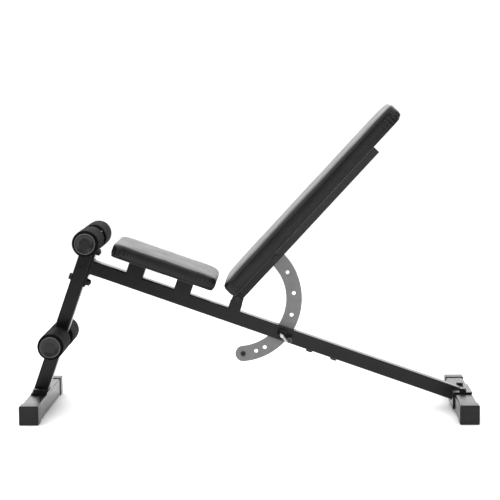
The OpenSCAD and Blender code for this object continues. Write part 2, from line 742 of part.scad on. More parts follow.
// End cap: a rounded rim, a dished face with a low hub, and a plug inside the tube
module roller_cap() {
    difference() {
        rotate_extrude() {
            square([roller_cap_r, roller_cap_t - roller_cap_edge_r]);
            square([roller_cap_r - roller_cap_edge_r, roller_cap_t]);
            translate([roller_cap_r - roller_cap_edge_r, roller_cap_t - roller_cap_edge_r])
                circle(roller_cap_edge_r);
        }
        translate([0, 0, roller_cap_t - roller_cap_dish])
            cylinder(r1 = roller_cap_floor_r, r2 = roller_cap_r - roller_cap_rim, h = roller_cap_dish);
        translate([0, 0, roller_cap_t]) cylinder(r = roller_cap_r - roller_cap_rim, h = cut);
    }
    translate([0, 0, roller_cap_t - roller_cap_dish - cut])
        cylinder(r = roller_cap_hub_r, h = roller_cap_hub_t + cut);
    translate([0, 0, -roller_cap_plug])
        cylinder(r = roller_tube_d / 2 - roller_tube_wall - fit_gap, h = roller_cap_plug + cut);
}
module roller_caps_at(z) both_sides() roller_frame(z) translate([0, 0, foam_end_y]) roller_cap();

module upper_roller_tube() color(steel_black) roller_tube_at(upper_roller_rise);
module upper_near_foam() color(foam_grey) near_foam_at(upper_roller_rise);
module upper_far_foam() color(foam_grey) far_foam_at(upper_roller_rise);
module upper_roller_caps() color(plastic_black) roller_caps_at(upper_roller_rise);
module lower_roller_tube() color(steel_black) roller_tube_at(-lower_roller_drop);
module lower_near_foam() color(foam_grey) near_foam_at(-lower_roller_drop);
module lower_far_foam() color(foam_grey) far_foam_at(-lower_roller_drop);
module lower_roller_caps() color(plastic_black) roller_caps_at(-lower_roller_drop);

front_foot_tube();
rear_foot_tube();
front_foot_caps();
rear_foot_caps();
front_foot_bracket();
rear_foot_bracket();
front_foot_bolts();
rear_foot_bolts();
front_rivet_nuts();
rear_rivet_nuts();
upright();
upright_plug();
rail_flange();
flange_bolts();
flange_washers();
flange_nuts();
front_rail();
rear_rail();
splice_sleeve();
splice_bolts();
splice_nuts();
front_seat_bracket();
rear_seat_bracket();
seat_board();
seat_pad();
seat_screws();
pivot_bracket();
pivot_bolt();
pivot_nut();
upper_roller_bushes();
lower_roller_bushes();
lock_housing();
lock_housing_cap();
lock_spring();
backrest_channel();
pivot_bushes();
backrest_board();
backrest_pad();
backrest_screws();
adjustment_arc();
arc_spacers();
arc_bolt();
arc_nut();
arc_stop_bolt();
arc_stop_nut();
lock_pin();
lock_handle();
lock_knob();
upper_roller_tube();
upper_near_foam();
upper_far_foam();
upper_roller_caps();
lower_roller_tube();
lower_near_foam();
lower_far_foam();
lower_roller_caps();
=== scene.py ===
"""Looks for the decline sit-up bench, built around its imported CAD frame.

Metres, in the frame's own axes: X from the roller end to the backrest end, Y away from the lock
pin's side, Z up. Every place comes from the CAD nodes' boxes or from the record's joints.
"""

import json
import math

import bmesh
import bpy
import numpy as np
from mathutils import Matrix, Vector, noise


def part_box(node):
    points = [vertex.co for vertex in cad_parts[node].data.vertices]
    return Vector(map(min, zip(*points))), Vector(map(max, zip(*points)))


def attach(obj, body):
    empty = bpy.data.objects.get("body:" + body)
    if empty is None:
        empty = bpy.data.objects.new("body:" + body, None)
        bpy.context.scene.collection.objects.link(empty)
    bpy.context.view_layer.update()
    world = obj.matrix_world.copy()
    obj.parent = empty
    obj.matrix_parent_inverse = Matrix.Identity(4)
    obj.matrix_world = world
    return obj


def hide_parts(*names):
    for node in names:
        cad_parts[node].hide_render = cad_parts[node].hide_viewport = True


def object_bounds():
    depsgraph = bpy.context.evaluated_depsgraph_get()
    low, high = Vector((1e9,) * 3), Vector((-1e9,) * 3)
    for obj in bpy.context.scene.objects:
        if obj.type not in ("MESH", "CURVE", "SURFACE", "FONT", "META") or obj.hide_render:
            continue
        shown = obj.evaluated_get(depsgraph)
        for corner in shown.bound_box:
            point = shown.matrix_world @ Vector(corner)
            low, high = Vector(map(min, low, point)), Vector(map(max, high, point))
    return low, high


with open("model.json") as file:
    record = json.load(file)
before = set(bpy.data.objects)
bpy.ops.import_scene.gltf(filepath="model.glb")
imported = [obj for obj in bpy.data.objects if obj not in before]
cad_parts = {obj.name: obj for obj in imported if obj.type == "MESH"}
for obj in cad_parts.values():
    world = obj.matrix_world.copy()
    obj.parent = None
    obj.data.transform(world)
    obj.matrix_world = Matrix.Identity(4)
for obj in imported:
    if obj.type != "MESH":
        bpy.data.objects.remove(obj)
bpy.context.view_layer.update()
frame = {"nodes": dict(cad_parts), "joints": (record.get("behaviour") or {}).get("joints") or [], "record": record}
NODES = frame["nodes"]
SCENE = bpy.context.scene
MM = 0.001


# ---------------------------------------------------------------- camera

CAMERA_PLACE = Vector((0.1253, -4.4745, 0.9343))
CAMERA_YAW = math.radians(1.588)
CAMERA_PITCH = math.radians(6.077)
CAMERA_ROLL = math.radians(-0.442)
CAMERA_LENS = 113.78


def make_camera():
    """The photograph's viewpoint: a long lens looking along +Y and a little down."""
    flat = Vector((math.cos(CAMERA_YAW), math.sin(CAMERA_YAW), 0))
    forward = Vector((
        -math.sin(CAMERA_YAW) * math.cos(CAMERA_PITCH),
        math.cos(CAMERA_YAW) * math.cos(CAMERA_PITCH),
        -math.sin(CAMERA_PITCH),
    ))
    level_up = flat.cross(forward)
    right = flat * math.cos(CAMERA_ROLL) + level_up * math.sin(CAMERA_ROLL)
    up = level_up * math.cos(CAMERA_ROLL) - flat * math.sin(CAMERA_ROLL)
    data = bpy.data.cameras.new("camera")
    data.lens = CAMERA_LENS
    data.sensor_width = 36
    data.clip_end = 200
    camera = bpy.data.objects.new("camera", data)
    SCENE.collection.objects.link(camera)
    camera.matrix_world = Matrix.Translation(CAMERA_PLACE) @ Matrix(
        (right, up, -forward)).transposed().to_4x4()
    SCENE.camera = camera


make_camera()


# ---------------------------------------------------------------- local frames

def joint_place(name):
    """A joint's point, in metres."""
    found = [j for j in frame["joints"] if j["name"] == name][0]
    return Vector(found["pos_m"])


def box_middle(node):
    low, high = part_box(node)
    return (low + high) / 2


PIVOT = joint_place("backrest_hinge")
UPPER_ROLLER = joint_place("upper_roller_spin")
LOWER_ROLLER = joint_place("lower_roller_spin")
ROLLER_LINE = UPPER_ROLLER - LOWER_ROLLER
RAIL_SLOPE = math.atan2(ROLLER_LINE.x, ROLLER_LINE.z)
TO_ARC_BOLT = box_middle("arc_bolt") - PIVOT
BACK_ANGLE = math.atan2(TO_ARC_BOLT.z, TO_ARC_BOLT.x)

# Both local frames have their origin on the backrest hinge: x along the pad, z square to it
RAIL = Matrix.Translation(PIVOT) @ Matrix.Rotation(RAIL_SLOPE, 4, "Y")
BACK = Matrix.Translation(PIVOT) @ Matrix.Rotation(-BACK_ANGLE, 4, "Y")


def local_box(node, axes):
    """(lowest corner, highest corner) of a CAD node measured in a local frame."""
    count = len(NODES[node].data.vertices)
    co = np.empty(count * 3)
    NODES[node].data.vertices.foreach_get("co", co)
    inverse = np.array(axes.inverted())
    local = co.reshape(-1, 3) @ inverse[:3, :3].T + inverse[:3, 3]
    return Vector(local.min(0)), Vector(local.max(0))


CHANNEL_END, CHANNEL_HALF = local_box("backrest_channel", BACK)[1][:2]


# ---------------------------------------------------------------- materials

class Shader:
    """A Principled material under construction, with short calls for the nodes it uses."""

    def __init__(self, name, roughness, metallic=0.0, specular=0.5):
        self.material = bpy.data.materials.new(name)
        self.material.use_nodes = True
        self.tree = self.material.node_tree
        self.surface = self.tree.nodes["Principled BSDF"]
        self.surface.inputs["Roughness"].default_value = roughness
        self.surface.inputs["Metallic"].default_value = metallic
        self.surface.inputs["Specular IOR Level"].default_value = specular
        self.place = self.node("ShaderNodeTexCoord").outputs["Object"]

    def node(self, kind, **settings):
        made = self.tree.nodes.new(kind)
        for key, value in settings.items():
            setattr(made, key, value)
        return made

    def link(self, output, target):
        self.tree.links.new(output, target)

    def noise(self, scale, detail=3.0, roughness=0.5, stretch=(1, 1, 1)):
        """Noise value with features of about 1 / scale metres."""
        place = self.place
        if stretch != (1, 1, 1):
            mapping = self.node("ShaderNodeMapping")
            mapping.inputs["Scale"].default_value = stretch
            self.link(place, mapping.inputs["Vector"])
            place = mapping.outputs["Vector"]
        texture = self.node("ShaderNodeTexNoise")
        texture.inputs["Scale"].default_value = scale
        texture.inputs["Detail"].default_value = detail
        texture.inputs["Roughness"].default_value = roughness
        self.link(place, texture.inputs["Vector"])
        return texture.outputs["Fac"]

    def cells(self, scale, feature="F1"):
        """Voronoi distance with cells of about 1 / scale metres."""
        texture = self.node("ShaderNodeTexVoronoi", feature=feature)
        texture.inputs["Scale"].default_value = scale
        self.link(self.place, texture.inputs["Vector"])
        return texture.outputs["Distance"]

    def ramp(self, value, stops):
        """Colour ramp through (position, grey or colour) stops."""
        made = self.node("ShaderNodeValToRGB")
        elements = made.color_ramp.elements
        while len(elements) < len(stops):
            elements.new(0.5)
        for element, (position, colour) in zip(elements, stops):
            element.position = position
            rgb = colour if isinstance(colour, tuple) else (colour,) * 3
            element.color = (*rgb, 1)
        self.link(value, made.inputs["Fac"])
        return made.outputs["Color"]

    def math(self, operation, a, b):
        made = self.node("ShaderNodeMath", operation=operation)
        for socket, value in zip(made.inputs, (a, b)):
            if isinstance(value, (int, float)):
                socket.default_value = value
            else:
                self.link(value, socket)
        return made.outputs["Value"]

    def colour(self, output):
        self.link(output, self.surface.inputs["Base Color"])

    def roughness(self, output, low, high):
        """Roughness between low and high, by a value between 0 and 1."""
        spread = self.node("ShaderNodeMapRange")
        spread.inputs["To Min"].default_value = low
        spread.inputs["To Max"].default_value = high
        self.link(output, spread.inputs["Value"])
        self.link(spread.outputs["Result"], self.surface.inputs["Roughness"])

    def rounded(self, radius):
        """Softens hard CAD edges in the shading."""
        bevel = self.node("ShaderNodeBevel", samples=4)
        bevel.inputs["Radius"].default_value = radius
        self.normal = bevel.outputs["Normal"]
        self.link(self.normal, self.surface.inputs["Normal"])
        return bevel

    def edge_mask(self, bevel):
        """1 on hard edges and 0 on flat faces, from how far the bevel turns the normal."""
        plain = self.node("ShaderNodeNewGeometry").outputs["Normal"]
        dot = self.node("ShaderNodeVectorMath", operation="DOT_PRODUCT")
        self.link(bevel.outputs["Normal"], dot.inputs[0])
        self.link(plain, dot.inputs[1])
        return self.math("SUBTRACT", 1.0, dot.outputs["Value"])

    def bump(self, height, distance, strength=1.0):
        """Adds bumps of that height in metres on top of what the normal already is."""
        made = self.node("ShaderNodeBump")
        made.inputs["Strength"].default_value = strength
        made.inputs["Distance"].default_value = distance
        self.link(height, made.inputs["Height"])
        if getattr(self, "normal", None) is not None:
            self.link(self.normal, made.inputs["Normal"])
        self.normal = made.outputs["Normal"]
        self.link(self.normal, self.surface.inputs["Normal"])


def powder_coat(name, dark, light, wear, specular=0.3):
    """Satin powder coat on steel: orange-peel skin, faint tone changes, edges rubbed lighter."""
    made = Shader(name, roughness=0.3, specular=specular)
    bevel = made.rounded(0.9 * MM)
    tone = made.ramp(made.noise(28, detail=5, roughness=0.65), [(0.3, dark), (0.7, light)])
    edges = made.math("MULTIPLY", made.edge_mask(bevel), made.noise(190, detail=4))
    edges = made.ramp(edges, [(0.05, 0.0), (0.16, 1.0)])
    mix = made.node("ShaderNodeMix", data_type="RGBA")
    made.link(edges, mix.inputs["Factor"])
    made.link(tone, mix.inputs["A"])
    mix.inputs["B"].default_value = (wear, wear, wear, 1)
    made.colour(mix.outputs["Result"])
    made.roughness(made.noise(60, detail=4), 0.18, 0.3)
    made.bump(made.noise(900, detail=2), 0.05 * MM)
    made.bump(made.noise(9, detail=2), 0.25 * MM)
    return made.material


def moulded_plastic(name, dark, light, specular=0.27):
    """Spark-textured moulded plastic with a faintly worn rim."""
    made = Shader(name, roughness=0.35, specular=specular)
    bevel = made.rounded(0.35 * MM)
    tone = made.ramp(made.noise(45, detail=4), [(0.3, dark), (0.75, light)])
    made.colour(tone)
    rub = made.math("MULTIPLY", made.edge_mask(bevel), 2.0)
    rub = made.math("ADD", rub, made.noise(110, detail=3))
    made.roughness(rub, 0.42, 0.24)
    made.bump(made.noise(2200, detail=2), 0.06 * MM)
    made.bump(made.noise(14, detail=1), 0.2 * MM)
    return made.material


def roller_cap(node):
    """Moulded cap of a roller: a shallow glossy dish inside a smoother rim, whose paler grey is a painted
    highlight.
    """
    low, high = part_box(node)
    made = Shader(node + "_look", roughness=0.3, specular=0.4)
    made.rounded(0.3 * MM)
    from_axis = made.node("ShaderNodeVectorMath", operation="SUBTRACT")
    from_axis.inputs[1].default_value = (low + high) / 2
    made.link(made.place, from_axis.inputs[0])
    square = made.node("ShaderNodeVectorMath", operation="MULTIPLY")
    square.inputs[1].default_value = (1, 0, 1)
    made.link(from_axis.outputs["Vector"], square.inputs[0])
    reach = made.node("ShaderNodeVectorMath", operation="LENGTH")
    made.link(square.outputs["Vector"], reach.inputs[0])
    share = made.math("DIVIDE", reach.outputs["Value"], (high.x - low.x) / 2)
    wander = made.math("MULTIPLY", made.noise(80, detail=3), 0.03)
    rim = made.ramp(made.math("ADD", share, wander), [(0.925, 0.0), (0.965, 1.0)])
    mix = made.node("ShaderNodeMix", data_type="RGBA")
    made.link(rim, mix.inputs["Factor"])
    dish = made.ramp(made.noise(45, detail=4), [(0.3, 0.004), (0.75, 0.008)])
    made.link(dish, mix.inputs["A"])
    # Painted highlight: the rim's paler grey stands in for the light caught on the cap's edge
    mix.inputs["B"].default_value = (0.075, 0.075, 0.075, 1)
    made.colour(mix.outputs["Result"])
    made.roughness(rim, 0.32, 0.2)
    made.bump(made.noise(2200, detail=2), 0.05 * MM)
    return made.material


def vinyl(name):
    """Black upholstery vinyl: pebbled grain, soft creases, a slightly polished skin."""
    made = Shader(name, roughness=0.35, specular=0.26)
    tone = made.ramp(made.noise(35, detail=6, roughness=0.6), [(0.3, 0.004), (0.72, 0.008)])
    made.colour(tone)
    made.roughness(made.noise(22, detail=5), 0.27, 0.43)
    grain = made.ramp(made.cells(620, "DISTANCE_TO_EDGE"), [(0.0, 0.0), (0.22, 1.0)])
    made.bump(grain, 0.06 * MM, 0.6)
    made.bump(made.noise(1500, detail=2), 0.03 * MM)
    creases = made.noise(38, detail=4, roughness=0.55, stretch=(1, 0.45, 1))
    made.bump(creases, 0.3 * MM)
    return made.material


def roller_foam(name):
    """Closed-cell sleeve foam: dull, finely pored, with faint dents."""
    made = Shader(name, roughness=0.8, specular=0.05)
    pores = made.cells(900)
    tone = made.ramp(made.noise(60, detail=6, roughness=0.7), [(0.3, 0.002), (0.75, 0.0045)])
    made.colour(tone)
    made.roughness(made.noise(40, detail=4), 0.6, 0.85)
    made.bump(pores, 0.3 * MM, 0.7)
    made.bump(made.noise(75, detail=5, roughness=0.6), 0.7 * MM)
    return made.material


def brushed_metal(name, dark, light, low, high):
    """Plated steel with turning or drawing marks."""
    made = Shader(name, roughness=low, metallic=1.0)
    made.rounded(0.4 * MM)
    streaks = made.noise(260, detail=4, stretch=(1, 1, 14))
    made.colour(made.ramp(streaks, [(0.3, dark), (0.7, light)]))
    made.roughness(made.noise(150, detail=5), low, high)
    made.bump(streaks, 0.04 * MM)
    return made.material


def plywood(name):
    """Poplar plywood: long grain, darker rings, raised fibres."""
    made = Shader(name, roughness=0.6)
    grain = made.noise(26, detail=8, roughness=0.7, stretch=(1, 9, 9))
    tone = made.ramp(grain, [
        (0.3, (0.13, 0.08, 0.045)), (0.5, (0.24, 0.16, 0.09)), (0.75, (0.34, 0.24, 0.15))])
    made.colour(tone)
    made.roughness(grain, 0.5, 0.75)
    made.bump(grain, 0.3 * MM)
    return made.material


def floor_finish(name):
    """Seamless pale studio floor, very slightly mottled."""
    made = Shader(name, roughness=0.7, specular=0.2)
    made.colour(made.ramp(made.noise(3, detail=3), [(0.2, 0.9), (0.8, 0.93)]))
    made.bump(made.noise(300, detail=2), 0.1 * MM)
    return made.material


MATERIALS = {
    "frame_paint": powder_coat("frame_paint_look", 0.003, 0.006, 0.02, specular=0.24),
    "arc_paint": powder_coat("arc_paint_look", 0.14, 0.175, 0.3, specular=0.5),
    "cap_plastic": moulded_plastic("cap_plastic_look", 0.004, 0.008),
    "lock_plastic": moulded_plastic("lock_plastic_look", 0.004, 0.008, specular=0.14),
    "bush_nylon": moulded_plastic("bush_nylon_look", 0.03, 0.05),
    "vinyl": vinyl("vinyl_look"),
    "roller_foam": roller_foam("roller_foam_look"),
    "backing_board": plywood("backing_board_look"),
    "fastener_zinc": brushed_metal("fastener_zinc_look", 0.016, 0.04, 0.28, 0.42),
    "pin_steel": brushed_metal("pin_steel_look", 0.42, 0.55, 0.22, 0.34),
    "spring_steel": brushed_metal("spring_steel_look", 0.4, 0.55, 0.28, 0.42),
}


def finish_cad_nodes():
    """Every carried-over CAD node takes the look of its slot in the record, except the roller caps and the lock
    knob, which get looks of their own.
    """
    for part in frame["record"]["subparts"]:
        mesh = NODES[part["node"]].data
        if part["node"] in ("upper_roller_caps", "lower_roller_caps"):
            look = roller_cap(part["node"])
        elif part["node"] == "lock_knob":
            # Painted highlight: the knob is made paler than the lock's other plastic to stand in for light on its
            # face
            look = moulded_plastic("lock_knob_look", 0.05, 0.08)
        else:
            look = MATERIALS[part["material_slot"]]
        for i in range(len(mesh.materials)):
            mesh.materials[i] = look
        if not mesh.materials:
            mesh.materials.append(look)


# ---------------------------------------------------------------- mesh helpers

def new_object(name, bm, slot, body):
    """An object from a bmesh, with its slot's look, riding on a CAD body."""
    mesh = bpy.data.meshes.new(name)
    bmesh.ops.recalc_face_normals(bm, faces=bm.faces)
    bm.to_mesh(mesh)
    bm.free()
    mesh.materials.append(MATERIALS[slot])
    for polygon in mesh.polygons:
        polygon.use_smooth = True
    obj = bpy.data.objects.new(name, mesh)
    SCENE.collection.objects.link(obj)
    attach(obj, body)
    return obj


def loft(bm, rings, caps=True):
    """Skins rings of equal point counts, and caps the first and last ring."""
    loops = [[bm.verts.new(p) for p in ring] for ring in rings]
    count = len(loops[0])
    for low, high in zip(loops, loops[1:]):
        for i in range(count):
            j = (i + 1) % count
            bm.faces.new((low[i], low[j], high[j], high[i]))
    if caps:
        bm.faces.new(loops[0])
        bm.faces.new(list(reversed(loops[-1])))
    return loops


def rounded_outline(low, high, radius, steps=10):
    """Points round a rectangle with round corners, anticlockwise, as (x, y) pairs."""
    radius = max(radius, 0.1 * MM)
    corners = [
        (high[0] - radius, high[1] - radius, 0),
        (low[0] + radius, high[1] - radius, 90),
        (low[0] + radius, low[1] + radius, 180),
        (high[0] - radius, low[1] + radius, 270),
    ]
    points = []
    for x, y, start in corners:
        for i in range(steps + 1):
            a = math.radians(start + 90 * i / steps)
            points.append((x + radius * math.cos(a), y + radius * math.sin(a)))
    return points


# ---------------------------------------------------------------- upholstered pads

VOXEL = 5 * MM
SIM_FRAMES = 20
LIFT = 0.8 * MM
HEM = 27 * MM
# The hem's outside from its outer edge, in the pad's side, to its raw edge: share across, drop
HEM_PROFILE = (
    (0.02, -5.0), (-0.045, -3.4), (-0.06, -1.6), (-0.04, -0.1), (0.02, 0.8),
    (0.12, 1.0), (0.5, 1.0), (0.97, 1.0), (1.0, 0.6),
)
# How far a pad's top starts below the CAD's before it swells
SINK = 0.6 * MM
# How far a pad's foot is drawn in towards its board, and up to what height
TUCK, TUCK_HEIGHT = 4.5 * MM, 16 * MM
PAD_LEVELS = 24
# How far a rounded far end stands back from the CAD's
NOSE_BACK = 4 * MM
# Most that the swelling may move a point, and the height of the band at the foot that it leaves
SWELL_CAP = 4 * MM
HELD_BAND = 6 * MM
HEM_THICK = 1.1 * MM


def swell(obj, cap, hold_below):
    """Blows a closed skin up by cloth simulation; points at or under hold_below, local z, stay."""
    held = obj.vertex_groups.new(name="held")
    held.add([v.index for v in obj.data.vertices if v.co.z <= hold_below], 1.0, "ADD")
    cloth = obj.modifiers.new("cloth", "CLOTH")
    cloth.settings.quality = 6
    cloth.settings.mass = 0.25
    cloth.settings.tension_stiffness = 15
    cloth.settings.compression_stiffness = 15
    cloth.settings.shear_stiffness = 5
    cloth.settings.bending_stiffness = 20
    cloth.settings.use_pressure = True
    cloth.settings.uniform_pressure_force = 0.7
    cloth.settings.vertex_group_mass = "held"
    cloth.settings.effector_weights.gravity = 0
    cloth.collision_settings.use_self_collision = False
    cloth.point_cache.frame_start = 1
    cloth.point_cache.frame_end = SIM_FRAMES
    for step in range(1, SIM_FRAMES + 1):
        SCENE.frame_set(step)
    evaluated = obj.evaluated_get(bpy.context.evaluated_depsgraph_get())
    start = np.empty(len(obj.data.vertices) * 3)
    end = np.empty(len(obj.data.vertices) * 3)
    obj.data.vertices.foreach_get("co", start)
    evaluated.data.vertices.foreach_get("co", end)
    move = (end - start).reshape(-1, 3)
    length = np.maximum(np.linalg.norm(move, axis=1), 1e-9)
    kept = cap * np.tanh(length / cap)
    obj.modifiers.remove(cloth)
    placed = start.reshape(-1, 3) + move * (kept / length)[:, None]
    obj.data.vertices.foreach_set("co", placed.ravel())
    SCENE.frame_set(1)


def apply_modifier(obj, name):
    bpy.context.view_layer.objects.active = obj
    bpy.ops.object.modifier_apply(modifier=name)


def cushion(name, pad_node, board_node, axes, body, corners_r, top_edge, far_edge, nose=0.0):
    """Upholstered pad: foam and cover round its board, lightly crowned, its sides drawn in.

    corners_r are the plan corners' radii at the board and at the top; top_edge and far_edge are the
    radii of the top's edges, along the sides and at the far end; nose is the radius that rounds the
    far end's lower edge.
    """
    pad_low, pad_high = local_box(pad_node, axes)
    board_low = local_box(board_node, axes)[0]
    bottom = board_low.z + LIFT
    height = pad_high.z - SINK - bottom
    rings = []
    for i in range(PAD_LEVELS + 1):
        z = i / PAD_LEVELS * height
        drawn_in = LIFT + TUCK * max(0.0, 1 - z / TUCK_HEIGHT) ** 2
        inset = drawn_in + rounding(z - (height - top_edge), top_edge)
        far_inset = drawn_in + rounding(z - (height - far_edge), far_edge)
        end = 0.0
        if nose:
            end = NOSE_BACK + rounding(nose - z, nose) - LIFT
            end = max(0.0, end - TUCK * max(0.0, 1 - z / TUCK_HEIGHT) ** 2)
            end *= min(1.0, (height - z) / top_edge)
        low = (pad_low.x + inset, pad_low.y + inset)
        high = (pad_high.x - far_inset - end, pad_high.y - inset)
        corner = corners_r[0] + (corners_r[1] - corners_r[0]) * i / PAD_LEVELS
        outline = rounded_outline(low, high, corner - inset * 0.5)
        rings.append([(x, y, bottom + z) for x, y in outline])
    bm = bmesh.new()
    loft(bm, rings)
    mesh = bpy.data.meshes.new(name)
    bmesh.ops.recalc_face_normals(bm, faces=bm.faces)
    bm.to_mesh(mesh)
    bm.free()
    obj = bpy.data.objects.new(name, mesh)
    SCENE.collection.objects.link(obj)
    remesh = obj.modifiers.new("remesh", "REMESH")
    remesh.mode = "VOXEL"
    remesh.voxel_size = VOXEL
    apply_modifier(obj, "remesh")
    ease = obj.modifiers.new("ease", "SMOOTH")
    ease.factor = 0.5
    ease.iterations = 4
    apply_modifier(obj, "ease")
    swell(obj, cap=SWELL_CAP, hold_below=bottom + HELD_BAND)
    smooth = obj.modifiers.new("subdivision", "SUBSURF")
    smooth.levels = smooth.render_levels = 1
    apply_modifier(obj, "subdivision")
    gather(obj, pad_low, pad_high, bottom, corners_r[0])
    obj.data.materials.append(MATERIALS["vinyl"])
    for polygon in obj.data.polygons:
        polygon.use_smooth = True
    obj.matrix_world = axes
    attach(obj, body)
    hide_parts(pad_node)
    low = (pad_low.x + LIFT + TUCK, pad_low.y + LIFT + TUCK)
    far = NOSE_BACK + nose if nose else LIFT + TUCK
    high = (pad_high.x - far, pad_high.y - LIFT - TUCK)
    hem_and_staples(name, axes, body, low, high, corners_r[0] - TUCK, board_low.z)


def rounding(past, radius):
    """How far a round edge falls back, at a distance past where it starts."""
    share = min(1.0, max(0.0, past / radius))
    return radius * (1 - math.sqrt(1 - share * share))


def gather(obj, low, high, bottom, corner):
    """Tension folds where the cover is drawn under the board, deepest at the corners."""
    count = len(obj.data.vertices)
    co = np.empty(count * 3)
    normals = np.empty(count * 3)
    obj.data.vertices.foreach_get("co", co)
    obj.data.vertices.foreach_get("normal", normals)
    co, normals = co.reshape(-1, 3), normals.reshape(-1, 3)
    middle = (low + high) / 2
    straight_x = (high.x - low.x) / 2 - corner
    straight_y = (high.y - low.y) / 2 - corner
    corner_at = straight_x + corner * math.pi / 4
    for i in range(count):
        x, y, z = co[i]
        rise = (z - bottom) / (high.z - bottom)
        soft = noise.noise(Vector((x * 13, y * 17, z * 11)))
        if rise > 0.95:
            co[i] += normals[i] * soft * 0.8 * MM
            continue
        over_x = max(0.0, abs(x - middle.x) - straight_x)
        over_y = max(0.0, abs(y - middle.y) - straight_y)
        turn = math.atan2(over_x, max(over_y, 1e-6))
        around = min(abs(x - middle.x), straight_x) + corner * turn
        around += max(0.0, straight_y - abs(y - middle.y))
        side = math.copysign(1, y - middle.y) + 2 * math.copysign(1, x - middle.x)
        wander = noise.noise(Vector((x * 22, y * 22, z * 30 + 7 * side)))
        near_corner = math.exp(-((around - corner_at) / (42 * MM)) ** 2)
        pleat = math.sin(around / (1.9 * MM) + 3.2 * wander + side)
        pull = math.sin(around / (4.4 * MM) + 2.5 * wander + 2 * side)
        fade = max(0.0, 1 - rise / 0.85)
        depth = near_corner * pleat * 2.1 * fade ** 1.3
        depth = depth + pull * 0.16 * fade ** 3 + 0.5 * soft
        on_side = min(1.0, max(0.0, abs(y - middle.y) - straight_y) / (0.7 * corner))
        for end_x in (low.x, high.x):
            out, up = abs(x - end_x) + 3 * MM, z - bottom + 5 * MM
            reach = math.hypot(out, up)
            fan = math.sin(9.5 * math.atan2(up, out) + 3.0 * wander + side)
            near_end = math.exp(-(reach / (62 * MM)) ** 2)
            off_end = min(1.0, reach / (22 * MM))
            depth += 1.3 * fan * on_side * fade ** 0.7 * near_end * off_end
        co[i] += normals[i] * depth * MM * min(1.0, 0.25 + rise * 6)
    obj.data.vertices.foreach_set("co", co.ravel())


def hem_and_staples(name, axes, body, low, high, corner, board_z):
    """The cover's raw edge folded under the board and stapled, open where the channel crosses."""
    outer = rounded_outline(low, high, corner, steps=8)
    dense = []
    for (ax, ay), (bx, by) in zip(outer, outer[1:] + outer[:1]):
        pieces = max(1, round(math.hypot(bx - ax, by - ay) / (6 * MM)))
        dense += [(ax + (bx - ax) * k / pieces, ay + (by - ay) * k / pieces)
                  for k in range(pieces)]
    middle = ((low[0] + high[0]) / 2, (low[1] + high[1]) / 2)
    half = (middle[0] - low[0], middle[1] - low[1])
    channel = CHANNEL_HALF + 3 * MM if body == "backrest" else 0.0
    top = board_z + 0.2 * MM
    ends_short = high[0] - CHANNEL_END > HEM
    bm = bmesh.new()
    rows = []
    for x, y in dense:
        wave = noise.noise(Vector((x * 40, y * 40, 3)))
        deep = HEM * (1 + 0.12 * wave)
        share = ((half[0] - deep) / half[0], (half[1] - deep) / half[1])
        inner = (middle[0] + (x - middle[0]) * share[0],
                 middle[1] + (y - middle[1]) * share[1])
        crease = 0.5 * MM * abs(noise.noise(Vector((x * 90, y * 90, 8))))
        row = []
        for t, drop in HEM_PROFILE:
            px, py = x + (inner[0] - x) * t, y + (inner[1] - y) * t
            sag = crease * math.sin(max(0.0, t) * math.pi)
            row.append((px, py, top - HEM_THICK * drop - sag))
        row.append((inner[0], inner[1], top))
        open_here = channel and abs(y) < channel and not (ends_short and x > middle[0])
        rows.append(None if open_here else [bm.verts.new(p) for p in row])
    for a, b in zip(rows, rows[1:] + rows[:1]):
        if a and b:
            for i in range(len(a)):
                j = (i + 1) % len(a)
                bm.faces.new((a[i], a[j], b[j], b[i]))
    for k, row in enumerate(rows):
        if row and (rows[k - 1] is None or rows[(k + 1) % len(rows)] is None):
            bm.faces.new(row)
    hem = new_object(name + "_hem", bm, "vinyl", body)
    hem.data.transform(axes)
    bm = bmesh.new()
    for k in range(0, len(dense), 4):
        x, y = dense[k]
        if channel and abs(y) < channel + 8 * MM and not x > middle[0]:
            continue
        ax, ay = dense[k - 1]
        bx, by = dense[(k + 1) % len(dense)]
        along = Vector((bx - ax, by - ay, 0)).normalized()
        inward = Vector((-along.y, along.x, 0))
        turn = 0.5 * noise.noise(Vector((x * 70, y * 70, 1)))
        lie = (along + inward * turn).normalized()
        at = Vector((x, y, top - HEM_THICK - 0.35 * MM)) + inward * (15 * MM)
        staple(bm, at, lie)
    staples = new_object(name + "_staples", bm, "spring_steel", body)
    staples.data.transform(axes)


def staple(bm, at, lie):
    """One staple's crown and the top of its two bent legs, as a flat wire."""
    across = Vector((-lie.y, lie.x, 0))
    half, leg = 4.6 * MM, 1.5 * MM
    path = [(-half, leg), (-half, 0.5 * MM), (-half + 0.6 * MM, 0),
            (half - 0.6 * MM, 0), (half, 0.5 * MM), (half, leg)]
    rings = []
    for x, z in path:
        centre = at + lie * x + Vector((0, 0, z))
        thin = Vector((0, 0, 0.28 * MM)) if z == 0 else lie * 0.28 * MM
        wide = across * 0.55 * MM
        rings.append([centre + wide + thin, centre - wide + thin,
                      centre - wide - thin, centre + wide - thin])
    loft(bm, rings)


# ---------------------------------------------------------------- foam rollers

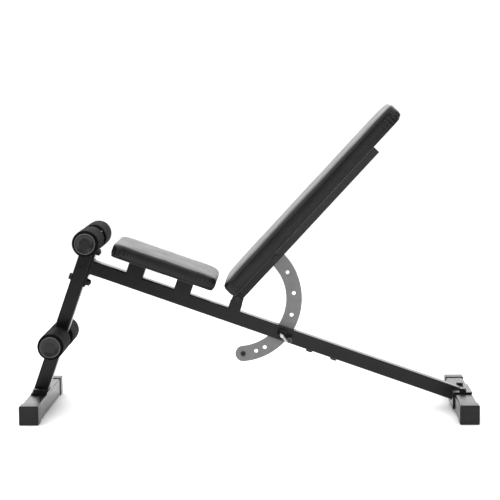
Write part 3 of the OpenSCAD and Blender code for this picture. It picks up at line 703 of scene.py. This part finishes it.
def foam_sleeve(node, body):
    """Foam sleeve on its tube: rounded ends, a bore, faint waves, slightly squeezed by its caps."""
    low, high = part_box(node)
    middle = (low + high) / 2
    tube_low, tube_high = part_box(body + "_tube")
    bore = (tube_high.x - tube_low.x) / 2 + 0.05 * MM
    radius = (high.x - low.x) / 2 - 0.3 * MM
    length = high.y - low.y
    edge = 6 * MM
    rings, around, along = [], 96, 40
    profile = [(bore, 0.0), ((bore + radius - edge) / 2, 0.0)]
    profile += [(radius - edge * (1 - math.sin(a)), edge * (1 - math.cos(a)))
                for a in (math.radians(15 * i) for i in range(7))]
    inner = [(radius, edge + (length - 2 * edge) * i / along) for i in range(1, along)]
    profile += inner + [(r, length - y) for r, y in reversed(profile)]
    bm = bmesh.new()
    for r, y in profile:
        ring = []
        for i in range(around):
            a = 2 * math.pi * i / around
            spot = Vector((math.cos(a) * 1.6, y * 26, math.sin(a) * 1.6 + middle.x * 9))
            wave = noise.noise(spot)
            end = min(y, length - y)
            squeeze = 0.7 * MM * math.exp(-end / (9 * MM))
            grown = r + (wave * 0.45 * MM - squeeze if r > bore + 1 * MM else 0.0)
            ring.append((middle.x + grown * math.cos(a), low.y + y,
                         middle.z + grown * math.sin(a)))
        rings.append(ring)
    loops = loft(bm, rings, caps=False)
    for i in range(around):
        j = (i + 1) % around
        bm.faces.new((loops[-1][i], loops[-1][j], loops[0][j], loops[0][i]))
    obj = new_object(node + "_sleeve", bm, "roller_foam", body)
    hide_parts(node)


# ---------------------------------------------------------------- weld beads

def weld_bead(name, path, width, body, closed=False):
    """A rippled fillet weld along straight stretches between points, in the object's frame."""
    points = [Vector(p) for p in path]
    if closed:
        points.append(points[0])
    step = 1.6 * MM
    line = []
    for a, b in zip(points, points[1:]):
        pieces = max(2, round((b - a).length / step))
        line += [a.lerp(b, i / pieces) for i in range(pieces)]
    if not closed:
        line.append(points[-1])
    count, around = len(line), 8
    bm = bmesh.new()
    rings = []
    for i, p in enumerate(line):
        ahead = line[(i + 1) % count] if closed or i < count - 1 else p
        behind = line[i - 1] if closed or i > 0 else p
        along = (ahead - behind).normalized()
        side = along.cross(Vector((0.31, 0.17, 0.94))).normalized()
        lift = along.cross(side)
        ripple = 1 + 0.13 * math.sin(i * math.pi / 2) + 0.1 * noise.noise(p * 210)
        r = width / 2 * ripple
        if not closed:
            r *= min(1.0, 0.45 + 0.3 * min(i, count - 1 - i))
        turns = (2 * math.pi * k / around for k in range(around))
        rings.append([p + (side * math.cos(a) + lift * math.sin(a)) * r for a in turns])
    if closed:
        rings.append(rings[0])
    loft(bm, rings, caps=not closed)
    bmesh.ops.remove_doubles(bm, verts=bm.verts, dist=1e-6)
    new_object(name, bm, "frame_paint", body)


def make_welds():
    """Beads where the frame's plates and tubes are joined."""
    low, high = local_box("front_rail", RAIL)
    inset = 0.4 * MM
    ring = [
        (low.y + inset, low.z), (high.y - inset, low.z),
        (high.y, low.z + inset), (high.y, high.z - inset),
        (high.y - inset, high.z), (low.y + inset, high.z),
        (low.y, high.z - inset), (low.y, low.z + inset),
    ]
    flange_face = local_box("rail_flange", RAIL)[1].x + 1 * MM
    ring = [RAIL @ Vector((flange_face, y, z)) for y, z in ring]
    weld_bead("flange_weld", ring, 4.5 * MM, "frame", True)
    for node in ("front_seat_bracket", "rear_seat_bracket", "pivot_bracket"):
        part_low, part_high = local_box(node, RAIL)
        for side, y in (("near", low.y), ("far", high.y)):
            plate = part_low.y if side == "near" else part_high.y
            edge = [RAIL @ Vector((x, (y + plate) / 2, part_low.z))
                    for x in (part_low.x, part_high.x)]
            weld_bead(f"{node}_{side}_weld", edge, 4 * MM, "frame")
    foot = footprint("upright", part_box("upright")[0].z)
    weld_bead("upright_weld", corners(*foot), 5 * MM, "frame", True)
    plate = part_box("rear_foot_bracket")[1].z
    low, high = footprint("rear_rail", plate)
    around_three = [low, (high.x, low.y, plate), high, (low.x, high.y, plate)]
    weld_bead("rail_plate_weld", around_three, 4 * MM, "frame")
    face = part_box("rear_foot_bracket")[0].x
    rail = NODES["rear_rail"].data.vertices
    bottom = min(v.co.z for v in rail if abs(v.co.x - face) < 0.5 * MM)
    weld_bead("rail_skirt_weld", [(face, y, z) for y, z in (
        (low.y, plate), (low.y, bottom), (high.y, bottom), (high.y, plate))], 4.5 * MM, "frame")


def footprint(node, z):
    """Lowest and highest corner of a CAD node's points at one height."""
    level = [v.co for v in NODES[node].data.vertices if abs(v.co.z - z) < 0.2 * MM]
    return (Vector((min(p.x for p in level), min(p.y for p in level), z)),
            Vector((max(p.x for p in level), max(p.y for p in level), z)))


def corners(low, high):
    return [low, (high.x, low.y, low.z), high, (low.x, high.y, low.z)]


# ---------------------------------------------------------------- stage

FLOOR_RADIUS = 3.2
SUN_POWER = 3.1
SUN_SPREAD = math.radians(130)
SEEN_WHITE = 1.05
# World light, summed: axis, from, to, strength at from, strength added by to, power of the rise
WORLD_LIGHT = (
    ("Y", -1.0, 1.0, 0.08, 0.52, 1),
    ("Y", 0.0, 1.0, 0.0, 1.5, 3),
    ("Z", 0.0, 1.0, 0.0, 0.7, 1),
)


def make_stage():
    """Pale round floor that fades into a white room, and soft studio light."""
    bm = bmesh.new()
    around, rings = 96, 8
    middle = bm.verts.new((0, 0, 0))
    loops = []
    for k in range(1, rings + 1):
        radius = FLOOR_RADIUS * k / rings
        turns = (2 * math.pi * i / around for i in range(around))
        loops.append([bm.verts.new((radius * math.cos(a), radius * math.sin(a), 0)) for a in turns])
    for i in range(around):
        bm.faces.new((middle, loops[0][i], loops[0][(i + 1) % around]))
    for inner, outer in zip(loops, loops[1:]):
        for i in range(around):
            j = (i + 1) % around
            bm.faces.new((inner[i], outer[i], outer[j], inner[j]))
    mesh = bpy.data.meshes.new("floor")
    bm.to_mesh(mesh)
    bm.free()
    mesh.materials.append(floor_finish("floor_look"))
    floor = bpy.data.objects.new("floor", mesh)
    SCENE.collection.objects.link(floor)
    floor.location.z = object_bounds()[0].z
    make_world()
    sun = bpy.data.lights.new("sun", "SUN")
    sun.energy = SUN_POWER
    sun.angle = SUN_SPREAD
    light = bpy.data.objects.new("sun", sun)
    SCENE.collection.objects.link(light)
    light.rotation_euler = (math.radians(-8), math.radians(-6), 0)
    softbox("key", (-2.4, -2.9, 2.3), (0, 0, 0.4), (2.0, 2.0), 26)
    along_back = BACK @ Vector((0.4, 0, 0))
    softbox("strip", (0.36, -2.23, 0.6), along_back, (1.1, 0.5), 5.2, BACK_ANGLE)
    SCENE.view_settings.view_transform = "Standard"


def make_world():
    """White to the eye; as a light, brightest behind and above the bench and dim in front of it."""
    world = bpy.data.worlds.new("studio")
    world.use_nodes = True
    tree = world.node_tree
    seen = tree.nodes["Background"]
    seen.inputs["Color"].default_value = (1, 1, 1, 1)
    seen.inputs["Strength"].default_value = SEEN_WHITE
    lamp = tree.nodes.new("ShaderNodeBackground")
    split = tree.nodes.new("ShaderNodeSeparateXYZ")
    place = tree.nodes.new("ShaderNodeTexCoord")
    tree.links.new(place.outputs["Generated"], split.inputs[0])
    total = None
    for axis, low, high, dim, bright, power in WORLD_LIGHT:
        spread = tree.nodes.new("ShaderNodeMapRange")
        spread.inputs["From Min"].default_value = low
        spread.inputs["From Max"].default_value = high
        tree.links.new(split.outputs[axis], spread.inputs["Value"])
        curve = tree.nodes.new("ShaderNodeMath")
        curve.operation = "POWER"
        curve.inputs[1].default_value = power
        tree.links.new(spread.outputs["Result"], curve.inputs[0])
        scale = tree.nodes.new("ShaderNodeMath")
        scale.operation = "MULTIPLY_ADD"
        scale.inputs[1].default_value = bright
        scale.inputs[2].default_value = dim
        tree.links.new(curve.outputs["Value"], scale.inputs[0])
        if total:
            tree.links.new(total.outputs["Value"], scale.inputs[2])
        total = scale
    tree.links.new(total.outputs["Value"], lamp.inputs["Strength"])
    choose = tree.nodes.new("ShaderNodeMixShader")
    path = tree.nodes.new("ShaderNodeLightPath")
    tree.links.new(path.outputs["Is Camera Ray"], choose.inputs["Fac"])
    tree.links.new(lamp.outputs["Background"], choose.inputs[1])
    tree.links.new(seen.outputs["Background"], choose.inputs[2])
    tree.links.new(choose.outputs["Shader"], tree.nodes["World Output"].inputs["Surface"])
    SCENE.world = world


def softbox(name, place, target, size, power, tilt=0.0):
    """A rectangular area light aimed at a target, its long side raised by tilt; itself unseen."""
    data = bpy.data.lights.new(name, "AREA")
    data.shape = "RECTANGLE"
    data.size, data.size_y = size
    data.energy = power
    light = bpy.data.objects.new(name, data)
    SCENE.collection.objects.link(light)
    light.visible_camera = False
    aim = (Vector(target) - Vector(place)).to_track_quat("-Z", "Y").to_matrix().to_4x4()
    light.matrix_world = Matrix.Translation(place) @ aim @ Matrix.Rotation(tilt, 4, "Z")


# ---------------------------------------------------------------- assembly

finish_cad_nodes()
cushion("seat_cushion", "seat_pad", "seat_board", RAIL, "frame",
        (19 * MM, 30 * MM), top_edge=8 * MM, far_edge=18 * MM)
cushion("backrest_cushion", "backrest_pad", "backrest_board", BACK, "backrest",
        (24 * MM, 30 * MM), top_edge=12 * MM, far_edge=8 * MM, nose=13 * MM)
for roller in ("upper", "lower"):
    for side in ("near", "far"):
        foam_sleeve(f"{roller}_{side}_foam", f"{roller}_roller")
make_welds()
make_stage()
